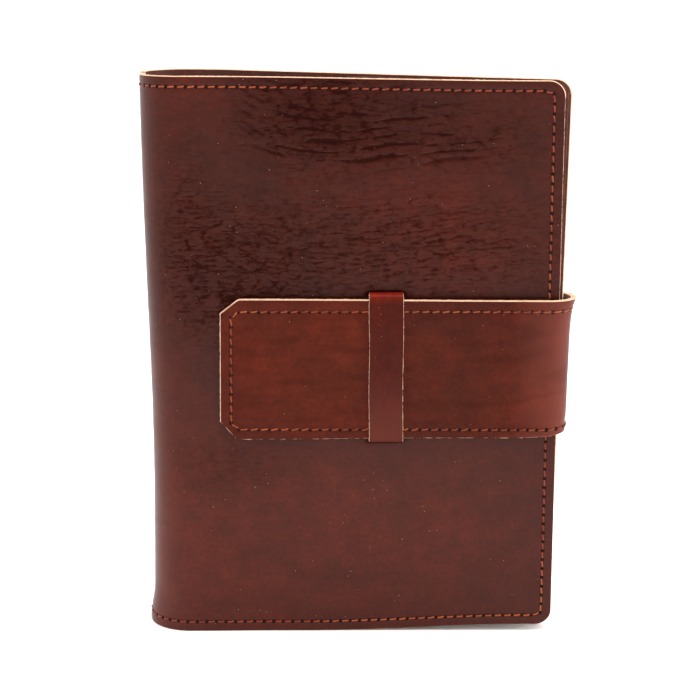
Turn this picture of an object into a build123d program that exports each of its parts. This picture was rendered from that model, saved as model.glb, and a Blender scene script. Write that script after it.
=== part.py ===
from build123d import *
import math
import os

# A wraparound leather cover for an A5 notebook, closed and standing on its bottom edges.
# X runs from the rounded spine towards the fore-edge, the front cover faces -Y and +Z is up.
# One hide is folded round the spine. It is lined, and a sleeve inside each cover takes the
# notebook's boards. A two-ply strap is sewn to the back cover, goes round the fore-edge and
# passes under a keeper on the front cover. The hide, its lining and the strap are cut at
# their fold lines, because each fold is a joint.

# Driving dimensions, mm.
HEIGHT = 222.0
HIDE = 1.5
LINING = 0.7
SLEEVE = 0.8
CORNER = 6.0
SPINE_LEFT = -84.0
SPINE_RADIUS = 17.5
FRONT_FACE = -15.0
FRONT_EDGE = 78.0
BACK_EDGE = 79.6
FORE_GAP = 3.3
SLEEVE_WIDTH = 85.0
PLY_INSET = 0.5
FOLD_GAP = 0.2

# Seams: how far a row lies from the cut edge, and the thread that shows on a face.
SEAM_INSET = 4.0
THREAD_WIDTH = 0.7
THREAD_PROUD = 0.35

# Strap: two plies, a clipped tip, and a loose loop round the fore-edge.
STRAP_BOTTOM = 81.4
STRAP_WIDTH = 55.5
STRAP_OUTER = 1.4
STRAP_INNER = 0.9
STRAP_TIP = -53.0
STRAP_CLIP = 6.5
STRAP_SEAM = 4.3
STRAP_LIFT = 26.0
STRAP_LIE = 0.15
LOOP_RIGHT = 84.0
LOOP_FRONT = -20.0
LOOP_BACK = 2.6
LOOP_RADIUS = 9.4
ANCHOR_LENGTH = 42.0
TONGUE_END = 68.0
LIFT_RADIUS = 120.0
LANDING_RADIUS = 60.0

# Keeper: a narrow loop over the strap, let into two slots in the front hide.
KEEPER_LEFT = 3.7
KEEPER_WIDTH = 14.0
KEEPER_BOTTOM = 79.9
KEEPER_TOP = 139.4
KEEPER_THICK = 1.3
KEEPER_TAIL = 9.0
TAIL_THICK = 0.45
KEEPER_CLEAR = 0.2
KEEPER_BEND = 1.6
SLOT_CLEAR = 0.1

# Each spine fold turns about a line on the hide's face, this far round from the flat.
FOLD_SETBACK = 22.0

# Cutting blocks reach this far, well past the cover on every side.
FAR = 300.0

PANEL = HIDE + LINING + SLEEVE
TANGENT_X = SPINE_LEFT + SPINE_RADIUS
ARC_CENTRE = Vector(TANGENT_X, FRONT_FACE + SPINE_RADIUS)
BACK_EDGE_FACE = FRONT_FACE + 2 * PANEL + FORE_GAP


def back_slant():
    """Angle, in radians, at which the back cover leans in to meet the front cover."""
    across = Vector(BACK_EDGE, BACK_EDGE_FACE) - ARC_CENTRE
    return math.asin(SPINE_RADIUS / across.length) - math.atan2(across.Y, across.X)


SLANT = back_slant()
BACK_OUT = Vector(math.sin(SLANT), math.cos(SLANT))
BACK_ALONG = Vector(math.cos(SLANT), -math.sin(SLANT))
BACK_START = ARC_CENTRE + BACK_OUT * SPINE_RADIUS
BACK_LENGTH = (Vector(BACK_EDGE, BACK_EDGE_FACE) - BACK_START).length
FRONT_LENGTH = FRONT_EDGE - TANGENT_X

MID = Vector(0, 0, HEIGHT / 2)
FRONT_PLANE = Plane(
    origin=Vector(TANGENT_X, FRONT_FACE) + MID, x_dir=(1, 0, 0), z_dir=(0, 1, 0)
)
BACK_PLANE = Plane(
    origin=BACK_START + MID, x_dir=BACK_ALONG, z_dir=BACK_OUT * -1
)


def outline(start, end, inset, corner):
    """A panel's flat shape: square at the fold, round at the fore-edge, cut in all round."""
    high = HEIGHT - 2 * inset
    face = Pos((start + end - inset) / 2, 0) * Rectangle(end - inset - start, high)
    return fillet(face.vertices().group_by(Axis.X)[-1], corner - inset)


def sheet(plane, start, end, near, far, inset=0.0):
    """A sheet of the cover between two depths under the outer face."""
    flat = outline(start, end, inset, CORNER)
    return extrude(plane.offset(near) * flat, far - near)


def seam_band(start, end):
    """The U of a seam: along the top, down the fore-edge and back along the bottom."""
    half = THREAD_WIDTH / 2
    outside = outline(start, end, SEAM_INSET - half, CORNER)
    inside = outline(start - SEAM_INSET, end, SEAM_INSET + half, CORNER)
    return outside - inside


def seam(plane, length):
    """Thread on the outer face and on the inside, where it lies on the sleeve or the lining."""
    band = seam_band(FOLD_GAP, length)
    split = length - SLEEVE_WIDTH
    on_lining = Pos(split / 2, 0) * Rectangle(split, HEIGHT)
    on_sleeve = Pos(split + SLEEVE_WIDTH / 2, 0) * Rectangle(SLEEVE_WIDTH, HEIGHT)
    outer = extrude(plane.offset(-THREAD_PROUD) * band, THREAD_PROUD)
    depth = HIDE + LINING
    inner = extrude(plane.offset(depth) * (band & on_lining), THREAD_PROUD)
    sleeve = extrude(plane.offset(PANEL) * (band & on_sleeve), THREAD_PROUD)
    return outer + inner + sleeve


def spine_shell(outer, inner, bottom, top):
    """Part of the rounded spine between two radii, from the back fold to the front fold."""
    gap = math.degrees(FOLD_GAP / SPINE_RADIUS)
    first = 90 - math.degrees(SLANT) + gap
    span = 180 + math.degrees(SLANT) - 2 * gap
    centre = (ARC_CENTRE.X, ARC_CENTRE.Y)
    out_arc = CenterArc(centre, outer, first, span)
    in_arc = CenterArc(centre, inner, first, span)
    ends = [Line(out_arc @ k, in_arc @ k) for k in (0, 1)]
    face = make_face([out_arc, in_arc, *ends])
    return extrude(Pos(0, 0, bottom) * face, top - bottom)


def spine_seams():
    """Two rows of thread round the spine, outside and inside."""
    rows = None
    for row in (SEAM_INSET, HEIGHT - SEAM_INSET):
        low = row - THREAD_WIDTH / 2
        high = row + THREAD_WIDTH / 2
        inside = SPINE_RADIUS - HIDE - LINING
        pair = spine_shell(SPINE_RADIUS + THREAD_PROUD, SPINE_RADIUS, low, high)
        pair += spine_shell(inside, inside - THREAD_PROUD, low, high)
        rows = pair if rows is None else rows + pair
    return rows


def strap_route():
    """Corners and bend radii of the line between the strap's plies, from tip to anchor."""
    lying = FRONT_FACE - STRAP_LIE - STRAP_INNER
    back_line = LOOP_BACK - STRAP_OUTER
    reach = (back_line - STRAP_INNER / math.cos(SLANT) - BACK_EDGE_FACE) / math.tan(SLANT)
    landing = Vector(BACK_EDGE - reach, back_line)
    corners = [
        Vector(STRAP_TIP, lying),
        Vector(STRAP_LIFT, lying),
        Vector(LOOP_RIGHT - STRAP_OUTER, LOOP_FRONT + STRAP_OUTER),
        Vector(LOOP_RIGHT - STRAP_OUTER, back_line),
        landing,
        landing - BACK_ALONG * ANCHOR_LENGTH,
    ]
    turns = [-LIFT_RADIUS, LOOP_RADIUS, LOOP_RADIUS, -LANDING_RADIUS]
    return corners, turns


def beside(corners, turns, out):
    """The strap's line moved outwards by a distance, with each bend about the same centre."""
    runs = [(b - a).normalized() for a, b in zip(corners, corners[1:])]
    sides = [Vector(run.Y, -run.X) for run in runs]
    points = [corners[0] + sides[0] * out]
    for point, before, after in zip(corners[1:-1], sides, sides[1:]):
        points.append(point + (before + after) * (out / (1 + before.dot(after))))
    points.append(corners[-1] + sides[-1] * out)
    radii = [abs(turn) + math.copysign(1, turn) * out for turn in turns]
    return FilletPolyline(*points, radius=radii)


def strap_layer(low, high, bottom, top):
    """A band of the strap between two distances from its glue line, and two heights."""
    corners, turns = strap_route()
    inner = beside(corners, turns, low)
    outer = beside(corners, turns, high)
    ends = [Line(inner @ k, outer @ k) for k in (0, 1)]
    face = make_face([inner, outer, *ends])
    return extrude(Pos(0, 0, bottom) * face, top - bottom)


def strap_outline(inset):
    """The tongue's flat shape with its clipped tip, cut in all round, as a block in Y."""
    left = STRAP_TIP + inset
    low = STRAP_BOTTOM + inset
    high = STRAP_BOTTOM + STRAP_WIDTH - inset
    clip = STRAP_CLIP - inset * (2 - math.sqrt(2))
    points = [
        (left, low + clip),
        (left + clip, low),
        (FAR, low),
        (FAR, high),
        (left + clip, high),
        (left, high - clip),
    ]
    face = make_face(Polyline(*points, close=True))
    return extrude(Plane.XZ.offset(-FAR) * face, 2 * FAR)


def block(left, right, front, back, bottom, top):
    """A square-cornered block between these faces."""
    size = (right - left, back - front, top - bottom)
    return Pos(left, front, bottom) * Box(*size, align=(Align.MIN,) * 3)


def region(left, right, front, back):
    """A tall block that picks out one stretch of the strap."""
    return block(left, right, front, back, -FAR, FAR)


def strap_parts(layer):
    """A layer of the strap cut into its tongue, its bend and its anchor."""
    middle = (LOOP_FRONT + LOOP_BACK) / 2
    anchor_end = strap_route()[0][4].X
    tongue = layer & region(-FAR, TONGUE_END - FOLD_GAP, -FAR, middle)
    anchor = layer & region(-FAR, anchor_end - FOLD_GAP, middle, FAR)
    bend = layer - region(-FAR, TONGUE_END, -FAR, middle)
    bend -= region(-FAR, anchor_end, middle, FAR)
    return tongue, bend, anchor


def strap_ply(low, high):
    """One ply of the strap, between two distances from the glue line, as its three stretches."""
    top = STRAP_BOTTOM + STRAP_WIDTH
    tongue, bend, anchor = strap_parts(strap_layer(low, high, STRAP_BOTTOM, top))
    return tongue & strap_outline(0), bend, anchor


def strap_thread():
    """Thread round the strap's outer face, closed across the tip and across the anchor."""
    half = THREAD_WIDTH / 2
    low = STRAP_BOTTOM + STRAP_SEAM
    high = STRAP_BOTTOM + STRAP_WIDTH - STRAP_SEAM
    face = (STRAP_OUTER, STRAP_OUTER + THREAD_PROUD)
    whole = strap_layer(*face, low - half, high + half)
    rows = strap_layer(*face, low - half, low + half)
    rows += strap_layer(*face, high - half, high + half)
    tongue, _, anchor = strap_parts(whole)
    _, bend, sides = strap_parts(rows)
    tongue = tongue & (strap_outline(STRAP_SEAM - half) - strap_outline(STRAP_SEAM + half))
    corners, _ = strap_route()
    far_row = corners[5].X + STRAP_SEAM
    near_row = corners[4].X - STRAP_SEAM
    sides = sides & region(far_row - half, FAR, -FAR, FAR)
    for row in (far_row, near_row):
        sides += anchor & region(row - half, row + half, -FAR, FAR)
    return tongue, bend, sides


def keeper_bar_face():
    """How far in front of the origin the keeper's inner face runs."""
    strap_face = FRONT_FACE - STRAP_LIE - STRAP_INNER - STRAP_OUTER
    return strap_face - THREAD_PROUD - KEEPER_CLEAR


def keeper():
    """A loop over the strap whose two ends go through the hide and turn away behind it."""
    right = KEEPER_LEFT + KEEPER_WIDTH
    inner = keeper_bar_face()
    outer = inner - KEEPER_THICK
    behind = FRONT_FACE + HIDE
    body = block(KEEPER_LEFT, right, outer, inner, KEEPER_BOTTOM, KEEPER_TOP)
    for low in (KEEPER_BOTTOM, KEEPER_TOP - KEEPER_THICK):
        body += block(KEEPER_LEFT, right, outer, behind, low, low + KEEPER_THICK)
    body = fillet(body.edges().filter_by(Axis.X).group_by(Axis.Y)[0], KEEPER_BEND)
    tail_back = behind + TAIL_THICK
    low_tail = (KEEPER_BOTTOM - KEEPER_TAIL, KEEPER_BOTTOM + KEEPER_THICK)
    high_tail = (KEEPER_TOP - KEEPER_THICK, KEEPER_TOP + KEEPER_TAIL)
    for tail in (low_tail, high_tail):
        body += block(KEEPER_LEFT, right, behind, tail_back, *tail)
    return body


def keeper_slots():
    """The two slots in the front hide that the keeper goes through."""
    left = KEEPER_LEFT - SLOT_CLEAR
    right = KEEPER_LEFT + KEEPER_WIDTH + SLOT_CLEAR
    front = FRONT_FACE - HIDE
    deep = FRONT_FACE + 2 * HIDE
    cut = None
    for low in (KEEPER_BOTTOM, KEEPER_TOP - KEEPER_THICK):
        high = low + KEEPER_THICK + SLOT_CLEAR
        slot = block(left, right, front, deep, low - SLOT_CLEAR, high)
        cut = slot if cut is None else cut + slot
    return cut


def on_arc(degrees):
    """A point on the spine's outer face, at an angle from +X."""
    turn = math.radians(degrees)
    return ARC_CENTRE + Vector(math.cos(turn), math.sin(turn)) * SPINE_RADIUS


def fold_lines():
    """Where each vertical hinge line stands, and how far the fold opens."""
    slant = math.degrees(SLANT)
    corners, _ = strap_route()
    return {
        "back_fold": on_arc(90 - slant + FOLD_SETBACK),
        "front_fold": on_arc(270 - FOLD_SETBACK),
        "strap_back_fold": Vector(LOOP_RIGHT - LOOP_RADIUS, corners[3].Y),
        "strap_front_fold": Vector(LOOP_RIGHT - LOOP_RADIUS, corners[2].Y),
    }


def make_parts():
    parts = {}
    covers = (("front", FRONT_PLANE, FRONT_LENGTH), ("back", BACK_PLANE, BACK_LENGTH))
    for side, plane, length in covers:
        under = HIDE + LINING
        sleeve_start = length - SLEEVE_WIDTH
        parts[f"hide_{side}"] = sheet(plane, FOLD_GAP, length, 0, HIDE)
        parts[f"lining_{side}"] = sheet(plane, FOLD_GAP, length, HIDE, under, PLY_INSET)
        parts[f"sleeve_{side}"] = sheet(
            plane, sleeve_start, length, under, PANEL, PLY_INSET
        )
        parts[f"seam_thread_{side}"] = seam(plane, length)
    parts["hide_spine"] = spine_shell(SPINE_RADIUS, SPINE_RADIUS - HIDE, 0, HEIGHT)
    parts["lining_spine"] = spine_shell(
        SPINE_RADIUS - HIDE,
        SPINE_RADIUS - HIDE - LINING,
        PLY_INSET,
        HEIGHT - PLY_INSET,
    )
    parts["seam_thread_spine"] = spine_seams()
    parts["keeper"] = keeper()
    parts["hide_front"] -= keeper_slots()
    parts["lining_front"] -= parts["keeper"]
    strap = {
        "outer": strap_ply(0, STRAP_OUTER),
        "lining": strap_ply(-STRAP_INNER, 0),
        "thread": strap_thread(),
    }
    for ply, pieces in strap.items():
        for stretch, piece in zip(("tongue", "bend", "anchor"), pieces):
            parts[f"strap_{stretch}_{ply}"] = piece
    return parts


def main():
    os.makedirs("parts", exist_ok=True)
    parts = make_parts()
    whole = Compound(children=[solid for p in parts.values() for solid in p.solids()])
    box = whole.bounding_box()
    shift = Vector(-(box.min.X + box.max.X) / 2, -(box.min.Y + box.max.Y) / 2)
    print("size", box.size, "shift", shift, "slant", math.degrees(SLANT))
    for name, point in fold_lines().items():
        print("hinge line", name, point + shift)
    for name, piece in parts.items():
        export_step(Pos(shift.X, shift.Y, 0) * piece, f"parts/{name}.step")


main()
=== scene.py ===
"""A glossy hand-dyed leather notebook cover: hide, lining, sleeves, strap, keeper and their seams."""
import math
import random

import bpy
import numpy as np
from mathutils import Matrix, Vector, noise


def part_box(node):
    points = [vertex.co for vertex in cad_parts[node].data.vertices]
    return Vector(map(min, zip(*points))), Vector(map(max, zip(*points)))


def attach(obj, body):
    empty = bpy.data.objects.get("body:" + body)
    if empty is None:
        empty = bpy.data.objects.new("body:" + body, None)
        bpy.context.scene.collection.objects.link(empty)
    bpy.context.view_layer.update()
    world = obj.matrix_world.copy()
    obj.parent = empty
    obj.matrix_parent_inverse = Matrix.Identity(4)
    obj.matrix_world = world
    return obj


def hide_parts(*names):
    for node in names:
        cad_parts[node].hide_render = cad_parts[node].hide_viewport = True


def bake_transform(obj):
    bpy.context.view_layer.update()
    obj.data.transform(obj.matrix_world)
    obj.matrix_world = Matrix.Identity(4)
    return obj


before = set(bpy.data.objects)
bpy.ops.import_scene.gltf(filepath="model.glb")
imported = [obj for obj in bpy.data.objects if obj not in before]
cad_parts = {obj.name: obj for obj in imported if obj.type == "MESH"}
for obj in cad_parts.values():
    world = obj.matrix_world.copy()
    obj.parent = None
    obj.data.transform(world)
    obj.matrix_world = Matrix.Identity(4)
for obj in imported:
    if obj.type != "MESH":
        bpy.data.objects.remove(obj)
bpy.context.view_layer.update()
MM = 0.001

# ------ sizes, read from the frame

FRONT_LO, FRONT_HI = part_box("hide_front")
BACK_LO, BACK_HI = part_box("hide_back")
SPINE_LO, SPINE_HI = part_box("hide_spine")
STRAP_LO, STRAP_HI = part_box("strap_tongue_outer")
BEND_LO, BEND_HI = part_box("strap_bend_outer")
KEEPER_LO, KEEPER_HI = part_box("keeper")

HEIGHT = FRONT_HI.z
HIDE = FRONT_HI.y - FRONT_LO.y
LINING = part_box("lining_front")[1].y - FRONT_HI.y
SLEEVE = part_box("sleeve_front")[1].y - FRONT_HI.y - LINING
RADIUS = (SPINE_HI.y - SPINE_LO.y) / 2
ARC_CENTRE = Vector((SPINE_LO.x + RADIUS, SPINE_LO.y + RADIUS))
CORNER = 6.0 * MM
FORE_EDGE = FRONT_HI.x

STITCH = 3.86 * MM
SEAM_INSET = 4.0 * MM
STRAP_SEAM = 4.3 * MM
STRAP_OUTER = 1.4 * MM
STRAP_INNER = 0.9 * MM
STRAP_LOOP = 9.4 * MM
KEEPER_HALF = 0.65 * MM
KEEPER_TAIL = 9.0 * MM
POCKET = 85 * MM


def slant_of_back():
    """How far the back cover leans in towards the front one, from where its outer corner lies."""
    slant = 0.0
    for _ in range(8):
        corner = Vector((BACK_HI.x, BACK_LO.y + HIDE * math.cos(slant)))
        across = corner - ARC_CENTRE
        slant = math.asin(RADIUS / across.length) - math.atan2(across.y, across.x)
    return slant, corner


SLANT, BACK_CORNER = slant_of_back()

# ------ routes in plan


class Route:
    """A line in plan made of straight runs and arcs, with a unit normal that points out."""

    def __init__(self, side):
        self.side = side
        self.parts = []
        self.length = 0.0

    def run(self, start, end):
        start, end = np.array(start, float), np.array(end, float)
        long = float(np.linalg.norm(end - start))
        self.parts.append(("run", self.length, long, start, (end - start) / long))
        self.length += long
        return self

    def arc(self, centre, radius, first, turn):
        long = radius * abs(turn)
        self.parts.append(("arc", self.length, long, np.array(centre, float), (radius, first, turn)))
        self.length += long
        return self

    def at(self, along):
        """Points, directions and outward normals at these distances along the route."""
        along = np.asarray(along, float)
        point = np.zeros(along.shape + (2,))
        ahead = np.zeros(along.shape + (2,))
        for number, (kind, begin, long, where, how) in enumerate(self.parts):
            first = number == 0
            last = number == len(self.parts) - 1
            here = ((along >= begin) | first) & ((along <= begin + long) | last)
            travel = along - begin
            if kind == "run":
                spot = where + travel[..., None] * how
                heading = np.broadcast_to(how, spot.shape)
            else:
                radius, start, turn = how
                angle = start + math.copysign(1, turn) * travel / radius
                out = np.stack([np.cos(angle), np.sin(angle)], -1)
                spot = where + radius * out
                heading = np.stack([-out[..., 1], out[..., 0]], -1) * math.copysign(1, turn)
            point[here] = spot[here]
            ahead[here] = heading[here]
        normal = np.stack([ahead[..., 1], -ahead[..., 0]], -1) * self.side
        return point, ahead, normal


def rounded_route(corners, radii, side):
    """A route through these corners, with each inner one rounded to a radius."""
    route = Route(side)
    points = [np.array(c, float) for c in corners]
    start = points[0]
    for before, corner, after, radius in zip(points, points[1:], points[2:], radii):
        into = (corner - before) / np.linalg.norm(corner - before)
        away = (after - corner) / np.linalg.norm(after - corner)
        turn = math.atan2(into[0] * away[1] - into[1] * away[0], float(into @ away))
        back = radius * math.tan(abs(turn) / 2)
        inward = np.array([-into[1], into[0]]) * math.copysign(1, turn)
        route.run(start, corner - into * back)
        centre = corner - into * back + inward * radius
        first = math.atan2(-inward[1], -inward[0])
        route.arc(centre, radius, first, turn)
        start = corner + away * back
    return route.run(start, points[-1])


def cover_route(front):
    """From the middle of the spine, round to a cover, and along it to its fore-edge."""
    middle = math.pi - SLANT / 2
    quarter = (math.pi + SLANT) / 2
    if front:
        route = Route(1).arc(ARC_CENTRE, RADIUS, middle, quarter)
        return route.run((ARC_CENTRE.x, ARC_CENTRE.y - RADIUS), (FORE_EDGE, FRONT_LO.y))
    route = Route(-1).arc(ARC_CENTRE, RADIUS, middle, -quarter)
    out = Vector((math.sin(SLANT), math.cos(SLANT)))
    return route.run(ARC_CENTRE + out * RADIUS, BACK_CORNER)


def strap_route():
    """The line between the strap's plies, from its tip, round the fore-edge, to its sewn end."""
    lying = STRAP_HI.y - STRAP_OUTER
    lifts_off = 26 * MM
    right = BEND_HI.x - STRAP_OUTER
    front = BEND_LO.y + STRAP_OUTER - 0.08 * MM
    back = min(BEND_HI.y - STRAP_OUTER, 1.0 * MM)
    along = Vector((math.cos(SLANT), -math.sin(SLANT)))
    end = BACK_CORNER + Vector((math.sin(SLANT), math.cos(SLANT))) * STRAP_INNER
    landing = end - along * (back - end.y) / math.sin(SLANT)
    sewn = (landing.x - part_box("strap_anchor_outer")[0].x) / along.x
    corners = [
        (STRAP_LO.x, lying),
        (lifts_off, lying),
        (right, front),
        (right, back),
        landing,
        landing - along * sewn,
    ]
    return rounded_route(corners, [120 * MM, STRAP_LOOP, STRAP_LOOP, 60 * MM], 1)


FRONT_ROUTE = cover_route(True)
BACK_ROUTE = cover_route(False)
STRAP_ROUTE = strap_route()
ARC_LENGTH = RADIUS * (math.pi + SLANT) / 2

# ------ how the leather moves and creases


def smooth(low, high, value):
    """An even step that rises from 0 at low to 1 at high."""
    share = np.clip((value - low) / (high - low), 0, 1)
    return share * share * (3 - 2 * share)


def ramp(low, high, distance):
    """The same step over a distance, between two ends in millimetres."""
    return smooth(low, high, distance / MM)


def bell(distance, width):
    """A soft bump, 1 at no distance, with its width in millimetres."""
    return np.exp(-((distance / MM / width) ** 2))


def patches(along, up, *places):
    """Soft round patches, added up. Each has a strength, and a middle and a size in millimetres."""
    total = 0.0
    for strength, (x, z), (wide, high) in places:
        total = total + strength * bell(along - x * MM, wide) * bell(up - z * MM, high)
    return total


def each(function, along, up):
    """A noise function at each point of a flat grid."""
    flat = [function(a, b) for a, b in zip(along.ravel().tolist(), up.ravel().tolist())]
    return np.array(flat).reshape(along.shape)


def soft_noise(along, up, long, high, seed):
    """Smooth noise whose bumps are this long and this high on the leather."""
    return each(lambda a, b: noise.noise(Vector((a / long, b / high, seed))), along, up)


def drawn(along, up):
    """The front's top and bottom edges draw in towards the fore-edge."""
    flat = along - ARC_LENGTH
    share = up / HEIGHT
    return (2.8 * MM * ramp(45, 135, flat) * (1 - share)
            - 1.7 * MM * ramp(0, 140, flat) * share)


def risen(along, up):
    """The back cover stands a hair taller by the spine, and dips towards its fore-edge."""
    reach = np.clip((along - 40 * MM) / (130 * MM), 0, 1)
    return (0.7 - 2.3 * reach) * MM * smooth(0.4, 1.0, up / HEIGHT)


def sway(along, up):
    """The slow waves of a soft cover, inwards only. All its layers share them."""
    wave = soft_noise(along, up, 70 * MM, 55 * MM, 3.1)
    inner = ramp(0, 30, abs(along) - ARC_LENGTH)
    return (-0.45 + 0.5 * wave) * MM * inner + spine_waist(along, up)


def spine_waist(along, up):
    """The rounded spine sags in a little above its foot, and its foot flares out again."""
    spine = 1 - smooth(0.25 * ARC_LENGTH, 1.1 * ARC_LENGTH, abs(along))
    waist = 1.7 * bell(up - 80 * MM, 70)
    foot = 1.6 * (1 - ramp(0, 16, up))
    return (foot - waist) * MM * spine


def crease_zones(along, up):
    """Where the hide is wrinkled: deep creases along the top, fine ones beside the spine."""
    deep = patches(
        along, up,
        (1.0, (80, 209), (31, 24)),
        (0.55, (135, 200), (36, 18)),
        (0.55, (-105, 45), (62, 40)),
    )
    fine = patches(
        along, up,
        (1.0, (50, 146), (24, 26)),
        (0.8, (115, 158), (62, 24)),
        (0.5, (30, 165), (10, 40)),
        (0.42, (46, 70), (24, 12)),
        (0.7, (-70, 160), (45, 45)),
    )
    return np.clip(deep, 0, 1), np.clip(fine, 0, 1)


def dashes(along, level, spacing, long, half, seed):
    """Rows of wavy dashes with tapered ends: 1 in the middle of a dash, 0 between them."""
    sway_of_rows = 0.62 * soft_noise(along, level, long * 1.5, spacing * 2.2, seed)
    wiggle = 0.14 * soft_noise(along, level, long * 0.30, spacing * 1.2, seed + 5)
    row = level / spacing + sway_of_rows + wiggle
    number = np.floor(row)
    ink = each(lambda a, b: noise.noise(Vector((a / long, b * 7.31, seed + 9))), along, number)
    blots = each(lambda a, b: noise.noise(Vector((a * 4 / long, b * 3.17, seed + 2))), along, number)
    width = half * np.clip(0.42 + 2.6 * ink + 1.1 * blots, 0.001, 1.5)
    return smooth(0, 1, 1 - np.abs(row - number - 0.5) * spacing / width)


def creases(along, up):
    """Deep and fine creases of the whole hide, in bands that hang between spine and middle."""
    deep, fine = crease_zones(along, up)
    hang = 12 * MM * np.exp(-np.maximum(along - 48 * MM, 0) / (10 * MM))
    hang = hang + 0.12 * np.maximum(along - 96 * MM, 0)
    level = up - hang
    large = dashes(along, level, 3.7 * MM, 14 * MM, 0.80 * MM, 1.3)
    small = dashes(along, level, 1.95 * MM, 4.0 * MM, 0.44 * MM, 6.3)
    return large * smooth(0.2, 0.7, deep), small * smooth(0.15, 0.8, np.maximum(fine, 0.5 * deep))


def from_edges(along, up, length, corner):
    """Distance in from a cover's cut edge: top, bottom or fore-edge, with round corners."""
    half = HEIGHT / 2
    over = np.maximum(along - (length - corner), 0)
    rise = np.maximum(np.abs(up - half) - (half - corner), 0)
    in_corner = corner - np.hypot(over, rise)
    straight = np.minimum(length - along, half - np.abs(up - half))
    return np.where((over > 0) & (rise > 0), in_corner, straight)


def seam_dip(distance, inset, deep=0.20, round_off=0.12):
    """The shallow channel that a tight row of stitches pulls into leather."""
    channel = bell(distance - inset, 0.75)
    rounding = np.exp(-np.maximum(distance, 0) / (0.8 * MM))
    return -(deep * channel + round_off * rounding) * MM


def keeper_slots(along, up):
    """The leather dips into the two slots that the keeper's ends go through."""
    left = KEEPER_LO.x - ARC_CENTRE.x + ARC_LENGTH
    width = KEEPER_HI.x - KEEPER_LO.x
    across = ramp(-1.2, 0.4, along - left)
    across *= ramp(-1.2, 0.4, left + width - along)
    edges = keeper_edges()
    return across * (bell(up - edges[0], 1.1) + bell(up - edges[1], 1.1))


def keeper_edges():
    """Heights of the two slots, at the middle of the keeper's ends."""
    inwards = KEEPER_TAIL + KEEPER_HALF
    return KEEPER_LO.z + inwards, KEEPER_HI.z - inwards


def hide_relief(along, up, length, sign):
    """Everything that stands up or sinks in on the hide's outer face."""
    deep, fine = crease_zones(along * sign, up)
    large, small = creases(along * sign, up)
    pebbles = soft_noise(along * sign, up, 3.2 * MM, 2.1 * MM, 5.0)
    swell = soft_noise(along * sign, up, 13 * MM, 5 * MM, 9.0)
    relief = -0.42 * large - 0.16 * small + (0.03 + 0.06 * fine) * pebbles
    relief = relief + (0.05 + 0.16 * deep + 0.07 * fine) * swell
    relief = relief * MM * ramp(1.5, 6, from_edges(along, up, length, CORNER))
    relief += seam_dip(from_edges(along, up, length, CORNER), SEAM_INSET)
    if sign > 0:
        relief -= 0.9 * MM * keeper_slots(along, up)
    return relief


# ------ sheets of leather

# A raw edge from its near to its far side: share of the thickness, and of the rim's width.
RIM_PROFILE = ((0.10, 0.62), (0.24, 1.0), (0.5, 1.12), (0.76, 1.0), (0.92, 0.55))
FIBRE = MM / 1.4


def spaced(start, end, step, tight_start=True, tight_end=True):
    """Evenly spaced distances, with two short steps at each cut end."""
    count = max(2, int(round((end - start) / step)))
    marks = np.linspace(start, end, count + 1)[1:-1].tolist()
    lead = [start, start + 0.06 * MM, start + 0.35 * MM] if tight_start else [start]
    tail = [end - 0.35 * MM, end - 0.06 * MM, end] if tight_end else [end]
    return np.array(lead + marks + tail)


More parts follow.
